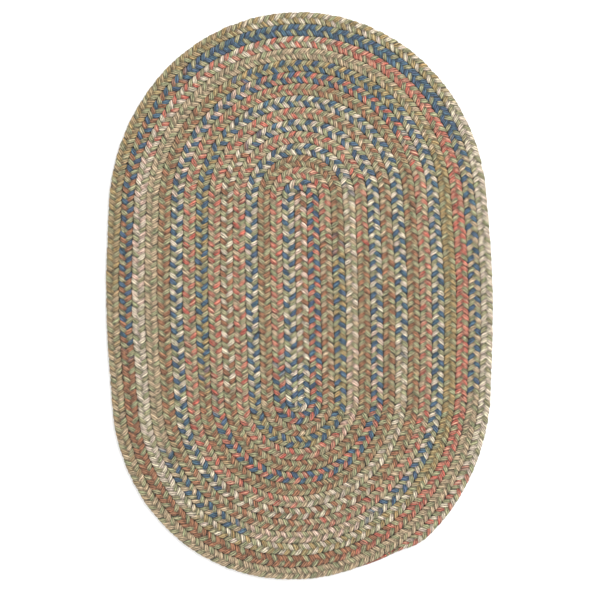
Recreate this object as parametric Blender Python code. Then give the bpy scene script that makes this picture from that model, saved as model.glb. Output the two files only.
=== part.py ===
"""An oval braided rug: one long flat braid wound into a spiral of rounds, laced edge to edge, lying flat.

The middle line of the braid starts at the far end of the centre run, comes down it, and then winds
clockwise, seen from above: round the near end, up the left side, round the far end and down the right.
Metres, +Z up, long side along Y, origin under the middle of the rug.
"""

import math

import bmesh
import bpy

# Sizes of the rug
WAIST_WIDTH = 0.6096  # across the middle: a 24 inch mat
ROUNDS = 15  # rounds on each side of the centre run
CORE_LENGTH = 0.322  # straight part of the centre run
SIDE_SPREAD = 0.049  # the braid lies this much wider at the waist than round the two ends
SPREAD_POWER = 4  # how soon the spread fades towards the ends
THICKNESS = 0.011

# Cross-section of the braid: distances across are in braid widths, from its inner edge
GROOVE_Z = 0.0072  # where two rounds meet
SHOULDER_Z = 0.0101
SHOULDER_AT = 0.17
CROWN = (  # across, height
    (SHOULDER_AT, SHOULDER_Z),
    (0.5, THICKNESS),
    (1 - SHOULDER_AT, SHOULDER_Z),
)
RIM_Z = 0.0050  # the widest level of the outermost edge
RIM_TOP_INSET = 0.05
RIM_FOOT_INSET = 0.10

# The tapered end lies on the near end's curve, after the last full round
TAPER_FROM = math.radians(37.5)
TAPER_TO = math.radians(75.0)

# Steps of the mesh
ARC_STEPS = 24  # round one end; the taper starts and stops on a step
SIDE_STEPS = 6  # along one straight side

PITCH = WAIST_WIDTH / (2 * ROUNDS + 1) / (1 + SIDE_SPREAD)  # width of the braid round the ends
HALF_CORE = CORE_LENGTH / 2
MIDDLE_Y = PITCH / 4  # the far end has half a braid more than the near one
HALF_LENGTH = HALF_CORE + (ROUNDS + 0.25) * PITCH
TURN = 2 * (ARC_STEPS + SIDE_STEPS)  # steps in one whole turn
LAST = ROUNDS * TURN + round(ARC_STEPS * TAPER_TO / math.pi)  # the step where the taper ends
YARN_COLOUR = (0.34, 0.27, 0.18, 1.0)


def spread(x, y):
    """Widens the sides a little towards the waist and brings the rug's middle to the origin."""
    y -= MIDDLE_Y
    wave = math.cos(math.pi / 2 * min(1.0, abs(y) / HALF_LENGTH))
    return x * (1 + SIDE_SPREAD * wave**SPREAD_POWER), y


def station(step):
    """The pivot, outward direction and inner edge's distance from the pivot, at a step along the spiral.

    Each half turn is part of a stadium: an end is a half circle, and the near one's centre lies half a
    braid to the left, so that a round comes back one braid further out than it began.
    """
    turn, k = divmod(step, TURN)
    side = turn + 0.5
    if k < ARC_STEPS:
        angle = math.pi * k / ARC_STEPS
        return (-PITCH / 2, -HALF_CORE), (math.cos(angle), -math.sin(angle)), turn * PITCH
    k -= ARC_STEPS
    if k < SIDE_STEPS:
        return (0, HALF_CORE * (2 * k / SIDE_STEPS - 1)), (-1, 0), side * PITCH
    k -= SIDE_STEPS
    if k < ARC_STEPS:
        angle = math.pi * k / ARC_STEPS
        return (0, HALF_CORE), (-math.cos(angle), math.sin(angle)), side * PITCH
    k -= ARC_STEPS
    return (0, HALF_CORE * (1 - 2 * k / SIDE_STEPS)), (1, 0), side * PITCH


def width_share(step):
    """1 along the whole braid, falling smoothly to 0 over the tapered end."""
    angle = math.pi * (step - ROUNDS * TURN) / ARC_STEPS
    along = (angle - TAPER_FROM) / (TAPER_TO - TAPER_FROM)
    return math.cos(math.pi / 2 * min(max(along, 0.0), 1.0)) ** 2


def point(step, out, z):
    """A place this many braid widths outward of the braid's inner edge."""
    pivot, outward, inner = station(step)
    reach = inner + out * PITCH
    return *spread(pivot[0] + reach * outward[0], pivot[1] + reach * outward[1]), z


def face(bm, *corners):
    """Adds a face, leaving out corners that fall together at a pole."""
    kept = [v for i, v in enumerate(corners) if v is not corners[i - 1]]
    if len(kept) > 2:
        bm.faces.new(kept)


def groove_line(bm):
    """One vertex for each step along the inner edge. The first end turns about a single pole."""
    pole = bm.verts.new(point(0, 0, GROOVE_Z))
    line = [pole] * (ARC_STEPS + 1)
    line += [bm.verts.new(point(step, 0, GROOVE_Z)) for step in range(ARC_STEPS + 1, LAST + 1)]
    return line


def outer_edge(bm, grooves):
    """The vertex at each step's outer edge: the next round's groove, or the rim on the last turn."""
    rim = [
        bm.verts.new(point(step, width_share(step) * (1 - RIM_TOP_INSET), GROOVE_Z))
        for step in range(LAST - TURN + 1, LAST)
    ]
    return grooves[TURN:] + rim + [grooves[LAST]]


def crown(bm, step):
    """The vertices between the grooves: shoulder, crest, shoulder. A narrower braid is lower too."""
    share = width_share(step)
    return [
        bm.verts.new(point(step, across * share, GROOVE_Z + (z - GROOVE_Z) * math.sqrt(share)))
        for across, z in CROWN
    ]


def add_strip(bm, old, new):
    """The faces between two cross-sections with the same number of vertices."""
    for j in range(len(old) - 1):
        face(bm, old[j], old[j + 1], new[j + 1], new[j])


def add_rounds(bm, grooves, edge):
    """The crowned top of every round. Returns the first step's crown, where the centre run joins."""
    first = before = crown(bm, 0)
    for step in range(1, LAST):
        here = crown(bm, step)
        add_strip(bm, [grooves[step - 1], *before, edge[step - 1]], [grooves[step], *here, edge[step]])
        before = here
    last = [grooves[LAST - 1], *before, edge[LAST - 1]]
    add_strip(bm, last, [grooves[LAST]] * len(last))
    return first


def add_centre_run(bm, grooves, first):
    """The straight centre braid between the first round's two sides, with its rounded far end."""
    before = first
    for k in range(1, SIDE_STEPS + 1):
        y = HALF_CORE * (2 * k / SIDE_STEPS - 1)
        here = [bm.verts.new((*spread((across - 0.5) * PITCH, y), z)) for across, z in CROWN]
        old = [grooves[ARC_STEPS + k - 1], *before, grooves[TURN - k + 1]]
        add_strip(bm, old, [grooves[ARC_STEPS + k], *here, grooves[TURN - k]])
        before = here
    left, crest, right = before
    ring = [left]
    reach = (0.5 - SHOULDER_AT) * PITCH
    for i in range(1, ARC_STEPS):
        angle = math.pi * i / ARC_STEPS
        place = spread(-reach * math.cos(angle), HALF_CORE + reach * math.sin(angle))
        ring.append(bm.verts.new((*place, SHOULDER_Z)))
    ring.append(right)
    start = ARC_STEPS + SIDE_STEPS
    for i in range(ARC_STEPS):
        face(bm, grooves[start + i], ring[i], ring[i + 1], grooves[start + i + 1])
        face(bm, ring[i], crest, ring[i + 1])


def add_rim_and_underside(bm, edge):
    """The rounded outer side of the last turn, down to the flat underside."""
    steps = range(LAST - TURN, LAST)
    top = [edge[step] for step in steps]
    widest = [bm.verts.new(point(step, width_share(step), RIM_Z)) for step in steps]
    foot = [bm.verts.new(point(step, width_share(step) - RIM_FOOT_INSET, 0)) for step in steps]
    for upper, lower in ((top, widest), (widest, foot)):
        add_strip(bm, [*upper, upper[0]], [*lower, lower[0]])
    bm.faces.new(foot)


def yarn_material():
    """The braid's mixed sage and tan wool, seen from afar."""
    material = bpy.data.materials.new("braid_yarn")
    material.use_nodes = True
    shader = material.node_tree.nodes["Principled BSDF"]
    shader.inputs["Base Color"].default_value = YARN_COLOUR
    shader.inputs["Roughness"].default_value = 0.95
    shader.inputs["Metallic"].default_value = 0.0
    return material


def build_rug():
    bm = bmesh.new()
    grooves = groove_line(bm)
    edge = outer_edge(bm, grooves)
    first = add_rounds(bm, grooves, edge)
    add_centre_run(bm, grooves, first)
    add_rim_and_underside(bm, edge)
    bmesh.ops.recalc_face_normals(bm, faces=bm.faces)
    mesh = bpy.data.meshes.new("braided_rug")
    bm.to_mesh(mesh)
    bm.free()
    mesh.shade_smooth()
    mesh.set_sharp_from_angle(angle=math.radians(50))
    mesh.materials.append(yarn_material())
    rug = bpy.data.objects.new("braided_rug", mesh)
    bpy.context.scene.collection.objects.link(rug)


for old_object in list(bpy.data.objects):
    bpy.data.objects.remove(old_object, do_unlink=True)
build_rug()
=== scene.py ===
# %% [markdown]
# # An oval braided rug
#
# A braided rug is one long flat braid of three strands, wound into a spiral and laced edge to edge. Each
# strand is a bundle of loosely twisted wool plies. One strand is sage from end to end. The other two are
# space-dyed: their colour changes slowly along the yarn, so bands of navy, coral, cream, gold and sand
# wander from round to round.
#
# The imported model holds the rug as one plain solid. This lesson puts the real strands in its place. They
# are worked out as arrays: first the braid as if it lay straight, and then the same points laid round the
# spiral.

# %% The frame that every piece has to fit
import math

import bpy
import numpy as np
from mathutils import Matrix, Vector


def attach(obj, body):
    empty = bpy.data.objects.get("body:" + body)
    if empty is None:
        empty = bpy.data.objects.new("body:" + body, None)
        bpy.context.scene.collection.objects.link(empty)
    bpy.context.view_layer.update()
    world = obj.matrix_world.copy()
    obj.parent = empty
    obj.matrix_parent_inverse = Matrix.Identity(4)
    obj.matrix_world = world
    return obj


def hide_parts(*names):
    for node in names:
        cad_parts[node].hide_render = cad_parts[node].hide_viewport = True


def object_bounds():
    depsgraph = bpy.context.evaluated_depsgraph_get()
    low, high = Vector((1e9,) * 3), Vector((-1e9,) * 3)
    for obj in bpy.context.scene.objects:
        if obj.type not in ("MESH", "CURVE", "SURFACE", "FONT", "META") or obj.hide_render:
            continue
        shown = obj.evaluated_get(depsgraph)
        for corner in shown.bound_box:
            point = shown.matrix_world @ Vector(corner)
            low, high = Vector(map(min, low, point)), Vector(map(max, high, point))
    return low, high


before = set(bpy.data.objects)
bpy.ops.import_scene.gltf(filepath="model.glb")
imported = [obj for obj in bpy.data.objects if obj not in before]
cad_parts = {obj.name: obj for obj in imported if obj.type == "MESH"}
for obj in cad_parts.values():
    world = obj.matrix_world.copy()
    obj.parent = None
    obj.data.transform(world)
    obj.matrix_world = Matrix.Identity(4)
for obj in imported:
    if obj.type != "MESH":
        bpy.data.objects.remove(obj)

cad_low, cad_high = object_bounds()
BODY = "root"
NODE = "braided_rug"
SLOT = "braid_yarn"
rug_width, rug_length, THICKNESS = cad_high - cad_low
print(f"the solid rug is {rug_width:.4f} x {rug_length:.4f} x {THICKNESS:.4f} m")

# %% [markdown]
# ## The camera comes first
#
# The photograph looks straight down from far away. A long lens high above the floor gives the same flat
# view. The picture is square, so the height follows from how much floor it shows.

# %% The camera, straight above
PICTURE_PX = 600
MM_PER_PX = 1.575  # what one pixel of the photograph covers on the rug
PICTURE_WIDTH = PICTURE_PX * MM_PER_PX / 1000
RUG_MIDDLE_PX = (299.5, 295.5)  # where the middle of the rug lies in the picture
PICTURE_TURN = math.radians(-1.1)  # the rug lies turned a little in the photograph
LENS, SENSOR = 100.0, 36.0

right = (PICTURE_PX / 2 - RUG_MIDDLE_PX[0]) * MM_PER_PX / 1000
up = (RUG_MIDDLE_PX[1] - PICTURE_PX / 2) * MM_PER_PX / 1000
camera_height = THICKNESS + PICTURE_WIDTH * LENS / SENSOR
camera_data = bpy.data.cameras.new("camera_above")
camera_data.lens, camera_data.sensor_width = LENS, SENSOR
camera = bpy.data.objects.new("camera_above", camera_data)
camera.location = (
    right * math.cos(PICTURE_TURN) - up * math.sin(PICTURE_TURN),
    right * math.sin(PICTURE_TURN) + up * math.cos(PICTURE_TURN),
    camera_height,
)
camera.rotation_euler = (0, 0, PICTURE_TURN)
bpy.context.scene.collection.objects.link(camera)
bpy.context.scene.camera = camera
print(f"the camera hangs {camera_height:.2f} m above the floor")

# %% [markdown]
# ## The spiral
#
# The braid starts on the rug's middle line, runs down it, and then winds clockwise. Every half turn is a
# half circle round one of two centres with a straight side between them. The near centre lies half a
# braid to the left of the far one, so a round comes back exactly one braid further out than it began.
# That is why the rounds can be laced edge to edge.
#
# Each stretch of the spiral is a row in a few small arrays: its centre, its distance from it, the angle it
# starts at and how fast it turns. A point on the braid then needs only to know which row it is in.

# %% Sizes of the spiral, from the solid's own box
ROUNDS = 15  # on each side of the centre run
SIDE_SPREAD = 0.049  # the braid lies this much wider at the waist than round the two ends
SPREAD_POWER = 4  # how soon the spread fades towards the ends
PITCH = rug_width / (2 * ROUNDS + 1) / (1 + SIDE_SPREAD)  # width of the braid round the ends
MIDDLE_Y = PITCH / 4  # the far end has half a braid more than the near one
HALF_LENGTH = rug_length / 2
HALF_CORE = HALF_LENGTH - (ROUNDS + 0.25) * PITCH
print(f"the braid is {PITCH * 1000:.2f} mm wide and the centre run {HALF_CORE * 2:.3f} m long")

# %% The stretches of the spiral
NEAR, LEFT, FAR, RIGHT = range(4)
# the first one is the centre run, which comes down like a right side
kind = np.r_[RIGHT, np.tile([NEAR, LEFT, FAR, RIGHT], ROUNDS), NEAR]
turn = np.r_[-0.5, np.repeat(np.arange(ROUNDS), 4), ROUNDS]  # whole turns before this stretch
is_arc = (kind == NEAR) | (kind == FAR)
# how far the braid's middle lies from the stretch's centre
stretch_reach = np.where(kind == NEAR, turn + 0.5, turn + 1.0) * PITCH
stretch_reach[0] = 0.0
stretch_x = np.where(kind == NEAR, -PITCH / 2, 0.0)
stretch_y = np.where((kind == NEAR) | (kind == LEFT), -HALF_CORE, HALF_CORE)
stretch_angle = np.where((kind == NEAR) | (kind == RIGHT), 0.0, -math.pi)  # of the outward direction
stretch_bend = np.where(is_arc, 1.0, 0.0) / np.maximum(stretch_reach, PITCH / 2)
stretch_length = np.where(is_arc, math.pi * stretch_reach, 2 * HALF_CORE)
stretch_start = np.r_[0.0, np.cumsum(stretch_length)[:-1]]


def place_on_turns(turns):
    """How far along the braid a place is: whole turns passed, and the share of the next one.

    A turn starts where its near end does, at the right. Turn 0 is the centre run, turn 1 the first round.
    """
    starts = np.r_[stretch_start[0], stretch_start[1::4]]
    last_turn_length = 2 * math.pi * stretch_reach[-1] + 4 * HALF_CORE
    return np.interp(turns, np.arange(len(starts) + 1), np.r_[starts, starts[-1] + last_turn_length])


# %% [markdown]
# The last round thins out over the near end's curve. Two of its strands are cut off there, and the third
# runs on alone as a thin tail that is laced along the rim. The centre run starts with a rounded end. All
# of that is a share by which the braid narrows: 1 in the middle of its length and 0 at its ends.

# %% How the braid narrows at its two ends
TAPER_FROM, TAIL_FROM, TAIL_TO = np.radians([48.0, 61.0, 73.0])  # on the last near end
STRANDS_STOP = 0.8  # the first two strands are cut after this share of the taper
TAIL_SHARE = 0.32  # of the braid's width, where the tail starts
TAIL_HEIGHT = 0.6  # of the braid's height, where the tail ends
START_ROUNDING = 0.42 * PITCH  # the braid starts this far behind the centre run's far end
taper_start, tail_start, braid_end = stretch_start[-1] + stretch_reach[-1] * np.array(
    [TAPER_FROM, TAIL_FROM, TAIL_TO]
)


def width_share(along):
    """1 along the whole braid.

    At the start it rises from 0 as a quarter circle. At the end it falls to the tail's share as the square
    of a cosine, and from there in a straight line to 0.
    """
    start = np.sqrt(1 - np.clip(-along / (PITCH / 2), 0, 1) ** 2)
    stopped = np.clip((along - taper_start) / (tail_start - taper_start), 0, 1)
    tail = 1 - np.clip((along - tail_start) / (braid_end - tail_start), 0, 1)
    return start * (TAIL_SHARE * tail + (1 - TAIL_SHARE) * np.cos(math.pi / 2 * stopped) ** 2)


# %% [markdown]
# No rug is laid by hand as evenly as it is drawn. In the photograph the middle lies a little to the right.
# The right side lies a little further ahead than the left one, and it is a little shorter. The far end is a
# little narrower than the near one, which is also a little squarer. Each is a shift of a few millimetres,
# fitted to where the rounds and the rim lie in the photograph. It follows from how far across and how far
# ahead of the rug's middle a point is.

# %% From the straight braid to the rug
MIDDLE_SHIFT = 0.0041  # the middle lies this much to the right of its place
SIDE_SLIP = 0.0042  # the right side lies this much ahead, and the left one as much back
SIDE_SHORTFALL = 0.0063  # the right side is this much shorter at each end, and the left one longer
END_SQUEEZE = 0.0021  # the far end is this much narrower on each side, and the near one wider
NEAR_FULLNESS = 0.004  # the corners of the near end bulge this much


def lay_round_spiral(along, out, height):
    """Bends a straight braid round the spiral.

    A point lies `along` the braid, `out` from its middle line towards the rug's rim, and at a height. Its
    stretch's centre plus its distance from that centre, in the outward direction there, gives its place.
    On a straight side it also runs on at a right angle to that direction. Then the sides are spread a
    little towards the waist, the rug's middle comes to the origin, and the uneven laying is added.
    """
    share = width_share(along)
    out = out * share - np.where(along > taper_start, (1 - share) * PITCH / 2, 0)
    row = np.clip(np.searchsorted(stretch_start, along, side="right") - 1, 0, len(kind) - 1)
    run = along - stretch_start[row]
    angle = stretch_angle[row] - run * stretch_bend[row]
    reach = stretch_reach[row] + out
    straight = np.where(is_arc[row], 0.0, run)
    x = stretch_x[row] + reach * np.cos(angle) + straight * np.sin(angle)
    y = stretch_y[row] + reach * np.sin(angle) - straight * np.cos(angle) - MIDDLE_Y
    wave = np.cos(math.pi / 2 * np.clip(np.abs(y) / HALF_LENGTH, 0, 1))
    x = x * (1 + SIDE_SPREAD * wave**SPREAD_POWER)
    across, ahead = x / (rug_width / 2), y / HALF_LENGTH
    x = x + MIDDLE_SHIFT * (1 - across**2) - END_SQUEEZE * across * ahead
    y = y + SIDE_SLIP * across - SIDE_SHORTFALL * across * ahead
    y = y - NEAR_FULLNESS * across**2 * np.maximum(-ahead, 0)
    return np.stack([x, y, height * (TAIL_HEIGHT + (1 - TAIL_HEIGHT) * np.sqrt(share))], -1)


print(f"the braid is {braid_end:.2f} m long")

# %% [markdown]
# ## Three strands
#
# In a flat braid each strand runs slanting over the middle to one edge, folds down round that edge, runs
# slanting back underneath, and comes up in the middle to do the same on the other side. Seen from above it
# swings over and back once while it rises and dips twice. Two waves say that: one across, and one of twice
# the rate for the height. The second strand is a third of a swing behind the first and the third one
# another third.
#
# Pure waves are too lazy for a tight braid. A small overtone in each lets a strand cross the middle on a
# straight slant, turn sharply at the edge and stay high between its two crossings. A strand also comes up a
# little before it reaches the middle, and that gives the zigzag line along the middle of the braid.
#
# Curves with a bevel could follow the same path, but their strands would all be round. Here only the path
# is worked out from the waves, and the next step wraps a surface of its own round it.

# %% The path of a strand in the straight braid
STRANDS = 3
SWING = 0.0258  # length of braid in which a strand swings over and back
CROSSINGS = 4  # of a strand with the other two in one swing
PHASE_STEPS = 720  # in which a swing is measured
STRAND_WIDTH, STRAND_HEIGHT = 0.0075, 0.0061
OVERREACH = 0.0014  # how far a strand would pass the braid's edge if the next round didn't press on it
OVERRISE = 0.0004  # and the same for its height
SHARPNESS = -0.10  # overtone that makes the swing straight in the middle and sharp at the edge
CREST = 0.17  # overtone that keeps the strand high between its crossings
EARLY_RISE = 0.30  # the strand rises and dips early by this angle of its swing, in radians
across_wave = (PITCH / 2 + OVERREACH - STRAND_HEIGHT / 2) / (1 - SHARPNESS)
rise_wave = (THICKNESS / 2 + OVERRISE - STRAND_HEIGHT / 2) / (1 - CREST)


def strand_path(phase):
    """Where a strand is at a phase of its swing, and its slopes, all for one length of braid.

    Across: the sine of the phase plus a share of the sine of three times it. Height, from the middle of the
    thickness: the sine of twice the phase plus a share of the sine of six times it, both a little early.
    The slopes are the derivatives of the two.
    """
    rate = 2 * math.pi / SWING
    out = across_wave * (np.sin(phase) + SHARPNESS * np.sin(3 * phase))
    out_slope = across_wave * rate * (np.cos(phase) + 3 * SHARPNESS * np.cos(3 * phase))
    early = phase + EARLY_RISE
    height = rise_wave * (np.sin(2 * early) + CREST * np.sin(6 * early))
    height_slope = rise_wave * rate * (2 * np.cos(2 * early) + 6 * CREST * np.cos(6 * early))
    return out, out_slope, height, height_slope


phase = np.linspace(0, 2 * math.pi, PHASE_STEPS + 1)
_, out_slope, _, height_slope = strand_path(phase)
strand_speed = np.sqrt(1 + out_slope**2 + height_slope**2) * SWING / (2 * math.pi)


def running_sum(values):
    """The area under a curve of values over the phase, up to each of them."""
    return np.r_[0, np.cumsum((values[1:] + values[:-1]) / 2 * np.diff(phase))]


strand_run = running_sum(strand_speed)
yarn_per_swing = strand_run[-1]
print(f"a swing of {SWING * 1000:.1f} mm takes {yarn_per_swing * 1000:.1f} mm of strand")

# %% [markdown]
# A ring of points is carried along that path. The ring is a rounded oblong, and its wide side lies flat
# against the braid: level on the top and underneath, and upright where the strand folds round the edge.
# That fold is what gives every strand a blunt end at the groove. Between two crossings nothing presses on
# the strand, so it swells there. The rings stand closer where the strand is on top, because that is where it
# is seen.
#
# Lacing pulls the rounds together, so the folds are pressed flat against the next round and bed into it. The
# rug is walked flat as well. Both are the same squeeze: a strand keeps its shape up to a little before the
# limit and gives way there.
#
# Deep between two strands the wool looks almost black. The lamps here alone don't darken it that much, so
# shade is painted there: each point also carries how deep in a cleft it lies, most at the strand's two sides
# and some where the strand comes up in the middle, and the material darkens the wool's colour by that. A
# simulation could press soft strands together instead, but not thousands of crossings in the time of a
# lesson.

# %% The surface of a strand
RINGS = 21  # in one swing
RING_ANGLES = np.radians([0, 50, 90, 130, 180, 230, 270, 310])
TOP_SHARE = 0.5  # how much closer the rings stand on top
ROUNDNESS = 2.1  # 2 is an ellipse, more is squarer
FOLD_SHARPNESS = 4  # how late a strand starts to fold over: an even power
CLEFT_SHARPNESS = 6  # how narrow the painted shade in the clefts is: an even power
PLUMPNESS = 0.30  # how much a strand swells where nothing crosses it
EDGE_LEAD = 0.0026  # how far the braid's edges run ahead of its middle
NESTING = 0.0006  # how far the folds of two rounds bed into each other
EDGE_GIVE, FACE_GIVE = 0.0006, 0.0012  # how deep a strand is squeezed at the edge and at the top
MIDDLE_CLEFT = 0.75  # painted shade where a strand comes up in the middle, as a share of that at its sides
PLIES = 8
YARN_PER_TURN = -0.16  # strand length in which its plies turn once
PLY_RADIUS = 0.0036  # of the circle round its axis that a point lies on if the strand is straight
LOOSENESS = 0.0011  # how far a strand strays from its course, along and across the braid
SIZE_SPREAD = 0.13  # and how much thicker or thinner it gets
END_ROUNDING = 0.006  # length over which a cut strand closes
END_CLOSED = 0.98  # how near to its very end it closes
SETTLING = 0.6  # swings over which the last strand stops swinging
SEED = 24
rng = np.random.default_rng(SEED)
ring_density = running_sum(strand_speed * (1 + TOP_SHARE * np.sin(2 * phase)))
ring_phases = np.interp(np.arange(RINGS) / RINGS * ring_density[-1], ring_density, phase)
ring_runs = np.interp(ring_phases, phase, strand_run)


def press(value, limit, give):
    """Squeezes values to within a limit on both sides of zero.

    They are left alone up to `give` before the limit. What lies beyond goes through a hyperbolic tangent,
    which starts with the same slope and never passes the limit.
    """
    size = np.abs(value)
    start = limit - give
    return np.sign(value) * np.where(size > start, start + give * np.tanh((size - start) / give), size)


def unit(vectors):
    return vectors / np.linalg.norm(vectors, axis=-1, keepdims=True)


def waver(run):
    """A random wave between -1 and 1 along a strand.

    Each crossing has a new value, and straight lines join them.
    """
    knots = np.arange(run[0], run[-1] + yarn_per_swing, yarn_per_swing / CROSSINGS)
    return np.interp(run, knots, rng.uniform(-1, 1, len(knots)))


def strand_surface(third, rings, last_swing):
    """Grids of straight-braid points, yarn coordinates and clefts, for some rings of a strand.

    Each ring is a superellipse: cosine and sine raised to 2 / ROUNDNESS, with their signs kept. Its flat
    side faces up or down, as the cosine of the phase, and outward near the fold, as a high power of the
    sine. That facing is made square to the strand's course, and the ring's width is square to both. The
    ring swells between two crossings, and hand braiding leaves it a little uneven.

    From its last swing on a strand is alone: it settles on the floor, and its width fills what is left of
    the braid's. The yarn coordinates are those that a point would have if the strand were straight: on a
    circle round its axis, turning with the plies, and its run along the strand. How deep a point lies in a
    cleft is a high power of the ring's cosine, or of the phase's, whichever is more.
    """
    swings = rings // RINGS
    turned = swings * 2 * math.pi + ring_phases[rings % RINGS]
    along = SWING * (turned / (2 * math.pi) + third / STRANDS)
    run = swings * yarn_per_swing + ring_runs[rings % RINGS]
    settled = np.clip((turned / (2 * math.pi) - last_swing) / SETTLING, 0, 1)
    swing = np.cos(math.pi / 2 * settled) ** 2
    out, out_slope, height, height_slope = (swing * value for value in strand_path(turned))
    height = height - (1 - swing) * (THICKNESS - STRAND_HEIGHT) / 2
    course = unit(np.stack([np.ones_like(out), out_slope, height_slope], -1))
    level = np.where(settled > 0, swing * np.abs(np.cos(turned)) + 1 - swing, np.cos(turned))
    fold = swing**FOLD_SHARPNESS * np.sin(turned) ** FOLD_SHARPNESS
    facing = np.stack([np.zeros_like(out), fold, level], -1)
    lift = unit(facing - (facing * course).sum(-1, keepdims=True) * course)
    side = np.cross(lift, course)

    cosine, sine = np.cos(RING_ANGLES), np.sin(RING_ANGLES)
    wide = np.sign(cosine) * np.abs(cosine) ** (2 / ROUNDNESS) * STRAND_WIDTH / 2
    high = np.sign(sine) * np.abs(sine) ** (2 / ROUNDNESS) * STRAND_HEIGHT / 2
    wide = wide * (swing + (1 - swing) * PITCH / STRAND_WIDTH)[:, None]
    closing = 1 - np.minimum(run - run[0], run[-1] - run) / END_ROUNDING
    size = 1 + PLUMPNESS * np.sin(2 * turned) ** 2 + SIZE_SPREAD * waver(run)
    size = size * np.sqrt(1 - np.clip(closing, 0, END_CLOSED) ** 2)
    ring = wide[..., None] * side[:, None] + high[:, None] * lift[:, None]
    middle = np.stack([along + LOOSENESS * waver(run), out + LOOSENESS * waver(run), height], -1)
    points = middle[:, None] + size[:, None, None] * ring
    points[..., 1] = press(points[..., 1], PITCH / 2 + NESTING, EDGE_GIVE)
    points[..., 0] += EDGE_LEAD * (points[..., 1] / (PITCH / 2)) ** 2
    points[..., 2] = press(points[..., 2], THICKNESS / 2, FACE_GIVE)
    points[..., 2] = (1 + points[..., 2] / np.abs(points[..., 2]).max()) * THICKNESS / 2

    angle = RING_ANGLES + (run * 2 * math.pi / YARN_PER_TURN)[:, None]
    run = np.broadcast_to(run[:, None], angle.shape)
    yarn = np.stack([PLY_RADIUS * np.cos(angle), PLY_RADIUS * np.sin(angle), run], -1)
    # how deep a point lies in a cleft, which the material paints darker as painted shade
    middle_cleft = MIDDLE_CLEFT * np.cos(turned) ** CLEFT_SHARPNESS
    cleft = np.maximum(cosine**CLEFT_SHARPNESS, middle_cleft[:, None])
    return points, yarn, along, cleft


# %% [markdown]
# ## The dyes
#
# Space-dyed yarn is dipped in one colour after another, in nearly the same order each time. The charts below
# were read off the photograph. They say where along the braid each dye takes over, in whole and part
# turns of the spiral. The two dyed strands aren't in step, which is why the bands overlap as they do.
#
# The tones of the dyes were fitted: they were changed until most bands had about the mean colours that they
# have in the photograph.

# %% Dyes and the charts of where they start
DYES = {  # each as two tones that the plies mix, in the 0 to 255 values of a colour picker
    "sage": ((150, 153, 115), (164, 152, 119)),
    "cream": ((214, 204, 173), (197, 177, 161)),
    "pink": ((217, 193, 172), (200, 166, 147)),
    "coral": ((191, 98, 82), (185, 138, 114)),
    "rust": ((165, 114, 84), (148, 107, 80)),
    "navy": ((80, 94, 118), (75, 104, 118)),
    "sand": ((193, 169, 138), (174, 154, 123)),
    "tan": ((172, 144, 107), (154, 136, 103)),
    "gold": ((174, 144, 97), (154, 140, 100)),
}
SAGE_CHART = "0 sage"
LEADING_CHART = """
    0 rust, .8 navy, 2.17 sand, 3.21 tan, 3.76 gold, 4.2 cream, 4.9 pink, 5.04 coral, 5.81 rust,
    6.56 navy, 7.26 sand, 7.87 tan, 8.3 gold, 8.56 cream, 9.15 coral, 9.66 rust,
    10.23 navy, 10.77 sand, 11.27 tan, 11.58 gold, 11.76 cream, 12.12 pink,
    12.21 navy, 12.3 sand, 12.81 gold, 13.26 cream, 13.7 coral, 14.14 rust,
    14.59 navy, 15 sand, 15.43 gold, 15.8 cream
"""
TRAILING_CHART = """
    0 pink, .5 cream, 1.52 coral, 2.7 rust, 3.75 navy, 4.69 sand, 5.7 tan, 6.26 cream, 6.92 pink,
    7 coral, 7.65 rust, 8.31 navy, 8.95 sand, 9.54 tan, 10.09 cream, 10.5 pink, 10.62 coral, 11.15 rust,
    11.61 navy, 12.11 sand, 12.73 gold, 13.07 cream, 13.42 pink, 13.53 coral, 14.09 rust,
    14.39 navy, 14.82 sand, 15.3 tan, 15.64 cream, 16.05 coral
"""
DYE_BLEED = 0.015  # half the length of braid over which one dye runs into the next
PLY_LAG = 0.03  # how much sooner one side of a strand changes dye than the other, along the braid


def linear(colour):
    """Colour picker values as light: the standard curve for screens, turned round."""
    share = np.array(colour) / 255
    return np.where(share <= 0.04045, share / 12.92, ((share + 0.055) / 1.055) ** 2.4)


def dyed(chart, along):
    """The two tones of the dye at each place along the braid, as the chart says."""
    entries = [entry.split() for entry in chart.split(",")]
    starts = place_on_turns(np.array([float(turns) for turns, _ in entries]))
    tones = linear([DYES[name] for _, name in entries])
    tones = np.concatenate([tones[:1], np.repeat(tones, 2, axis=0)])[:-1]
    edges = np.stack([starts - DYE_BLEED, starts + DYE_BLEED], -1).ravel()
    edges[1::2][:-1] = np.minimum(edges[1::2][:-1], starts[1:] - DYE_BLEED)
    opaque = np.ones_like(along)
    return [
        np.stack([np.interp(along, edges, tones[:, tone, channel]) for channel in range(3)] + [opaque], -1)
        for tone in range(2)
    ]


# %% [markdown]
# ## The material
#
# Each strand is a loose twist of wool plies. Built as tubes they would be millions of faces, so the
# material draws them. The mesh carries the two tones of the dye, the yarn coordinates and how deep each
# point lies in a cleft, where the material paints shade. The angle round the strand's axis says which ply a
# point is on, and each ply wanders from one tone to the other in its own time. The line between two plies
# gets painted shade as well. What is finer than a ply is noise drawn out along the ply: slubs, where the
# wool was carded unevenly, and single fibres. Plies and fibres also give a faint relief. Every pattern reads
# the yarn coordinates, so it runs along the strand through every bend. A picture of yarn would do that too,
# but it would repeat.
#
# Written out as nodes, even short sums take many lines. The small class below lets Python's own + and *
# add the Math nodes.

# %% A small class for sums on sockets
class Shade:
    """A number or colour in a material. + - * on it add Math nodes."""

    def __init__(self, recipe, socket):
        self.recipe, self.socket = recipe, socket

    def __add__(self, other):
        return self.recipe.math("ADD", self, other)

    def __sub__(self, other):
        return self.recipe.math("SUBTRACT", self, other)

    def __rsub__(self, other):
        return self.recipe.math("SUBTRACT", other, self)

    def __mul__(self, other):
        return self.recipe.math("MULTIPLY", self, other)

    __radd__, __rmul__ = __add__, __mul__


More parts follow.
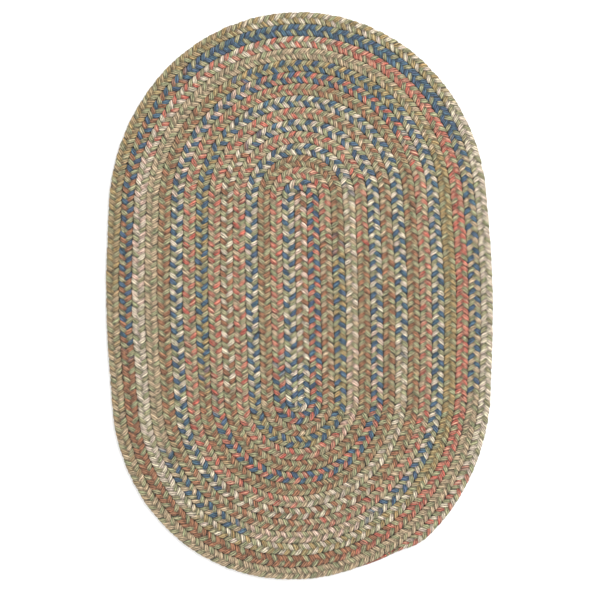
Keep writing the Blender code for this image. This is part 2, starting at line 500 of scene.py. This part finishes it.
class Recipe:
    """A material's node tree."""

    def __init__(self, name):
        self.material = bpy.data.materials.new(name)
        self.material.use_nodes = True
        self.tree = self.material.node_tree
        self.shader = self.tree.nodes["Principled BSDF"]

    def connect(self, value, socket):
        """Links a Shade to a socket, or sets a plain value on it."""
        if isinstance(value, Shade):
            self.tree.links.new(value.socket, socket)
        else:
            socket.default_value = value

    def node(self, kind, settings, inputs, output=0):
        """Adds a node of any kind: its settings first, and then its inputs, by name or number."""
        made = self.tree.nodes.new(kind)
        for name, value in settings.items():
            setattr(made, name, value)
        for name, value in inputs.items():
            self.connect(value, made.inputs[name])
        return Shade(self, made.outputs[output])

    def math(self, operation, *values):
        return self.node("ShaderNodeMath", {"operation": operation}, dict(enumerate(values)))

    def mix(self, share, first, second):
        """A colour that is `first` where the share is 0 and `second` where it is 1."""
        settings = {"data_type": "RGBA", "blend_type": "MIX"}
        return self.node("ShaderNodeMix", settings, {0: share, 6: first, 7: second}, 2)


# %% The wool
TONE_LENGTH = 0.012  # strand length over which a ply's tone wanders
WANDER_DETAIL, FIBRE_DETAIL, SLUB_DETAIL = 1.0, 3.0, 1.0  # how many finer noises are added to each noise
SHADE_SPREAD = 0.6  # how much darker the darkest stretch of a ply is than the lightest
GROOVE_SHADE = 0.25  # brightness of the painted shade between two plies, as a share of a ply's top
FIBRE_SCALE, FIBRE_STRETCH = 900.0, 0.3  # a fibre's pattern is slower along the ply than across it
SLUB_SCALE, SLUB_STRETCH = 450.0, 0.3  # and so are the slubs, where a ply is carded unevenly
SLUB_MIX = 0.8  # how much of one tone a slub brings into the other
FIBRE_SHADE, SLUB_SHADE = 4.5, 0.6  # how much the two change the shade
# and the limits of that: wool has shade between its fibres, but no black and no shine
DARKEST, BRIGHTEST = 0.25, 1.12
PAINTED_CLEFT_SHADE = 0.97  # how much painted shade darkens the wool deep between two strands
NOISE_LOW, NOISE_HIGH = 0.32, 0.68  # most of a noise lies between these
TONE_START, SHADE_START = 0.5, 40.5  # places in the noise, far enough apart to have nothing in common
FIBRE_RELIEF = 0.6  # height of the fibres, as a share of the plies'
RELIEF_STRENGTH, RELIEF_DEPTH = 0.6, 0.0007
ROUGHNESS, SHEEN, SHEEN_ROUGHNESS = 0.95, 0.15, 0.5

recipe = Recipe(SLOT)
first_tone = recipe.node("ShaderNodeAttribute", {"attribute_name": "first_tone"}, {}, "Color")
second_tone = recipe.node("ShaderNodeAttribute", {"attribute_name": "second_tone"}, {}, "Color")
yarn_place = recipe.node("ShaderNodeAttribute", {"attribute_name": "yarn"}, {}, "Vector")
# how deep a point lies between strands, for the painted shade there
cleft = recipe.node("ShaderNodeAttribute", {"attribute_name": "cleft"}, {}, "Fac")
round_x = recipe.node("ShaderNodeSeparateXYZ", {}, {0: yarn_place}, "X")
round_y = recipe.node("ShaderNodeSeparateXYZ", {}, {0: yarn_place}, "Y")
run = recipe.node("ShaderNodeSeparateXYZ", {}, {0: yarn_place}, "Z")
ply_turn = recipe.math("ARCTAN2", round_y, round_x) * (PLIES / (2 * math.pi))
ply_number = recipe.math("FLOORED_MODULO", recipe.math("FLOOR", ply_turn), float(PLIES))
ply_across = recipe.math("FRACT", ply_turn)
ply_ridge = 4 * ply_across * (1 - ply_across)


def wander(start):
    """A slow random wave from 0 to 1 along each ply, different for each start."""
    place = recipe.node("ShaderNodeCombineXYZ", {}, {"X": ply_number + start, "Z": run * (1 / TONE_LENGTH)})
    noise = recipe.node("ShaderNodeTexNoise", {}, {"Vector": place, "Scale": 1.0, "Detail": WANDER_DETAIL})
    usual = {"From Min": NOISE_LOW, "From Max": NOISE_HIGH}
    return recipe.node("ShaderNodeMapRange", {}, {"Value": noise, **usual})


def streaks(scale, stretch, detail):
    """Noise drawn out along the plies."""
    drawn_out = {0: yarn_place, 1: (1, 1, stretch)}
    place = recipe.node("ShaderNodeVectorMath", {"operation": "MULTIPLY"}, drawn_out)
    return recipe.node("ShaderNodeTexNoise", {}, {"Vector": place, "Scale": scale, "Detail": detail})


fibres = streaks(FIBRE_SCALE, FIBRE_STRETCH, FIBRE_DETAIL)
slubs = streaks(SLUB_SCALE, SLUB_STRETCH, SLUB_DETAIL)
tone_mix = recipe.node("ShaderNodeClamp", {}, {0: wander(TONE_START) + SLUB_MIX * 2 * (slubs - 0.5)})
ply_colour = recipe.mix(tone_mix, first_tone, second_tone)
shade = 1 - SHADE_SPREAD / 2 + SHADE_SPREAD * wander(SHADE_START)
# painted shade: the line between two plies is drawn darker
painted_groove_shade = GROOVE_SHADE + (1 - GROOVE_SHADE) * ply_ridge
streak = (1 + FIBRE_SHADE * (fibres - 0.5)) * (1 + SLUB_SHADE * (slubs - 0.5))
streak = recipe.node("ShaderNodeClamp", {}, {"Value": streak, "Min": DARKEST, "Max": BRIGHTEST})
painted_cleft_shade = cleft * cleft  # squared, so that only the deepest part of a cleft gets the painted shade
# the ply's tone, times painted shade between plies and in the clefts, and the fibres' streaks
tone = shade * painted_groove_shade * streak * (1 - PAINTED_CLEFT_SHADE * painted_cleft_shade)
wool_colour = recipe.node("ShaderNodeVectorMath", {"operation": "SCALE"}, {0: ply_colour, "Scale": tone})
height = ply_ridge + FIBRE_RELIEF * fibres
relief = recipe.node(
    "ShaderNodeBump", {}, {"Height": height, "Strength": RELIEF_STRENGTH, "Distance": RELIEF_DEPTH}
)
recipe.connect(wool_colour, recipe.shader.inputs["Base Color"])
recipe.connect(relief, recipe.shader.inputs["Normal"])
recipe.shader.inputs["Roughness"].default_value = ROUGHNESS
recipe.shader.inputs["Sheen Weight"].default_value = SHEEN
recipe.shader.inputs["Sheen Roughness"].default_value = SHEEN_ROUGHNESS
wool = recipe.material
print(f"the wool is drawn by {len(recipe.tree.nodes)} nodes")

# %% [markdown]
# ## The pieces
#
# Each strand is one long tube of wool. It could be made face by face, but arrays are far quicker: the
# numbers of the four corners of every face are the same grid, shifted by one ring and by one side. Blender
# takes the whole arrays at once.
#
# The colours may later be saved as an image, and that needs a flat map of the surface. Unwrapping thousands
# of bends by their angles would scatter them. A tube is easy to lay out: slit along its length, cut
# into rows, and set on a page like lines of text, with the two caps on a last line.

# %% A page for the map
BAKE_ROWS = 30  # makes a face about as long as it is wide on the page
ROW_MARGIN, PAGE_MARGIN = 0.03, 0.003  # free space round a row, as shares of the row's height and the page
CAP_RADIUS = 0.4  # as a share of a row's height


def page_of_rows(rings, sides):
    """Map places for the corners of a tube's walls and of its two caps, in the order of its faces.

    A ring's number, divided by the rings that fit in a row, gives the row and the place in it. The side's
    number gives the height in the row. A cap is a circle of corners.
    """
    row_rings = math.ceil((rings - 1) / BAKE_ROWS)
    ring, side = np.divmod(np.arange((rings - 1) * sides)[:, None], sides)
    row, place = np.divmod(ring, row_rings)
    u = PAGE_MARGIN + (place + np.array([0, 0, 1, 1])) / row_rings * (1 - 2 * PAGE_MARGIN)
    in_row = ROW_MARGIN + (side + np.array([0, 1, 1, 0])) / sides * (1 - 2 * ROW_MARGIN)
    v = (row + in_row) / (BAKE_ROWS + 1)
    around = 2 * math.pi * np.arange(sides) / sides
    circle = CAP_RADIUS * np.stack([np.cos(around), np.sin(around)], -1)
    first_cap, last_cap = (
        (circle[order] + (middle, BAKE_ROWS + 0.5)) / (BAKE_ROWS + 1)
        for order, middle in ((slice(None, None, -1), 0.5), (slice(None), 1.5))
    )
    return np.concatenate([np.stack([u, v], -1).reshape(-1, 2), first_cap, last_cap])


# %% From grids to meshes
def add_tube(name, points, yarn, cleft, tones):
    """A mesh from rings of points: a face between each four neighbours, and a cap at each end."""
    rings, sides = points.shape[:2]
    index = np.arange(rings * sides, dtype=np.int32).reshape(rings, sides)
    beside = np.roll(index, -1, axis=1)
    walls = np.stack([index[:-1], beside[:-1], beside[1:], index[1:]], -1).reshape(-1, 4)
    corners = np.concatenate([walls.ravel(), index[0, ::-1], index[-1]])
    sizes = np.r_[np.full(len(walls), 4), sides, sides]
    mesh = bpy.data.meshes.new(name)
    mesh.vertices.add(rings * sides)
    mesh.vertices.foreach_set("co", points.ravel())
    mesh.loops.add(len(corners))
    mesh.loops.foreach_set("vertex_index", corners)
    mesh.polygons.add(len(sizes))
    mesh.polygons.foreach_set("loop_start", np.r_[0, np.cumsum(sizes)[:-1]])
    mesh.update(calc_edges=True)
    mesh.uv_layers.new(name="OFBake").uv.foreach_set("vector", page_of_rows(rings, sides).ravel())
    mesh.attributes.new("yarn", "FLOAT_VECTOR", "POINT").data.foreach_set("vector", yarn.ravel())
    mesh.attributes.new("cleft", "FLOAT", "POINT").data.foreach_set("value", cleft.ravel())
    for tone_name, tone in zip(("first_tone", "second_tone"), tones):
        mesh.attributes.new(tone_name, "FLOAT_COLOR", "POINT").data.foreach_set("color", tone.ravel())
    mesh.materials.append(wool)
    mesh.shade_smooth()
    piece = bpy.data.objects.new(name, mesh)
    bpy.context.scene.collection.objects.link(piece)
    return piece


# %% [markdown]
# A strand of this rug is almost fifty metres long, which is too many faces for one piece. So each is cut in
# two, an inner and an outer part, at the lowest place of its swing, where the cut lies underneath. Strands
# are soft: nothing but the lacing and the floor holds them. For every part the size of the oval that its
# rounds reach to and the area of its own rounds are worked out.

# %% The three strands, each in an inner and an outer part
SPLIT_TURN = 10.0
STRAND_OFFSET = 60.0  # keeps the patterns of the three strands apart, in metres of strand
RUNS_ON = "trailing_strand"  # the strand that isn't cut but runs on as the tail
low_ring = int(np.argmin(strand_path(ring_phases)[2]))
stop_along = taper_start + STRANDS_STOP * (tail_start - taper_start)
split_along = place_on_turns(SPLIT_TURN)


def region(first_turn, last_turn):
    """Width and length of the oval that a span of rounds reaches to, and the area of the span alone."""
    width, length = (2 * last_turn + 1) * PITCH, 2 * HALF_CORE + (2 * last_turn + 0.5) * PITCH
    area = (math.pi / 4 * width**2 + width * (length - width)) * (1 + SIDE_SPREAD / 2)
    if first_turn > 0:
        area -= region(0, first_turn)[1]
    return (width * (1 + SIDE_SPREAD), length), area


for third, (strand, chart) in enumerate(
    [("sage_strand", SAGE_CHART), ("leading_strand", LEADING_CHART), ("trailing_strand", TRAILING_CHART)]
):
    first = math.ceil((-START_ROUNDING / SWING - third / STRANDS) * RINGS)
    last_swing = math.floor(stop_along / SWING - third / STRANDS)
    last = last_swing * RINGS + low_ring
    if strand == RUNS_ON:
        last = math.floor((braid_end / SWING - third / STRANDS) * RINGS)
    split = math.floor(split_along / SWING) * RINGS + low_ring
    every = np.arange(first, last + 1)
    points, yarn, along, cleft = strand_surface(third, every, last_swing)
    lag = PLY_LAG / 2 * yarn[..., 0] / PLY_RADIUS
    tones = dyed(chart, along[:, None] + lag)
    yarn[..., 2] += third * STRAND_OFFSET
    laid = lay_round_spiral(points[..., 0], points[..., 1], points[..., 2])
    for part, cut, turns in (
        ("inner", every <= split, (0, SPLIT_TURN)),
        ("outer", every >= split, (SPLIT_TURN, ROUNDS)),
    ):
        piece = add_tube(f"{strand}_{part}", laid[cut], yarn[cut], cleft[cut], [tone[cut] for tone in tones])
        flat, area = region(*turns)
        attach(piece, BODY)
        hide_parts(NODE)
        print(f"{piece.name}: {len(piece.data.polygons)} faces")

# %% [markdown]
# ## Floor and light
#
# The rug was photographed on plain white, under light so wide that it casts hardly any shadow. A white sky
# gives that light. One large lamp at the upper right adds the slight shade that every strand has on its
# other side. Small lamps would draw hard lines in the grooves, and a lamp straight above would flatten them.

# %% A pale floor and soft light
FLOOR_SIZE = 6.0
FLOOR_GREY, FLOOR_ROUGHNESS = 0.9, 0.9
SKY_STRENGTH = 1.27
LAMP_PLACE = (0.9, 0.8, 2.0)
LAMP_SIZE, LAMP_POWER = 1.2, 34
bpy.ops.mesh.primitive_plane_add(size=FLOOR_SIZE, location=(0, 0, 0))
floor = bpy.context.object
floor.name = "floor"
paint = Recipe("floor_paint")
paint.shader.inputs["Base Color"].default_value = (FLOOR_GREY, FLOOR_GREY, FLOOR_GREY, 1)
paint.shader.inputs["Roughness"].default_value = FLOOR_ROUGHNESS
floor.data.materials.append(paint.material)

world = bpy.data.worlds.new("studio")
world.use_nodes = True
world.node_tree.nodes["Background"].inputs["Color"].default_value = (1, 1, 1, 1)
world.node_tree.nodes["Background"].inputs["Strength"].default_value = SKY_STRENGTH
bpy.context.scene.world = world
bpy.context.scene.view_settings.view_transform = "Standard"


def add_light(name, place, size, power):
    light_data = bpy.data.lights.new(name, "AREA")
    light_data.size, light_data.energy = size, power
    light = bpy.data.objects.new(name, light_data)
    light.location = place
    light.rotation_euler = (-Vector(place)).to_track_quat("-Z", "Y").to_euler()
    bpy.context.scene.collection.objects.link(light)


add_light("key", LAMP_PLACE, LAMP_SIZE, LAMP_POWER)
print(f"the lamp is {Vector(LAMP_PLACE).length:.1f} m from the rug")
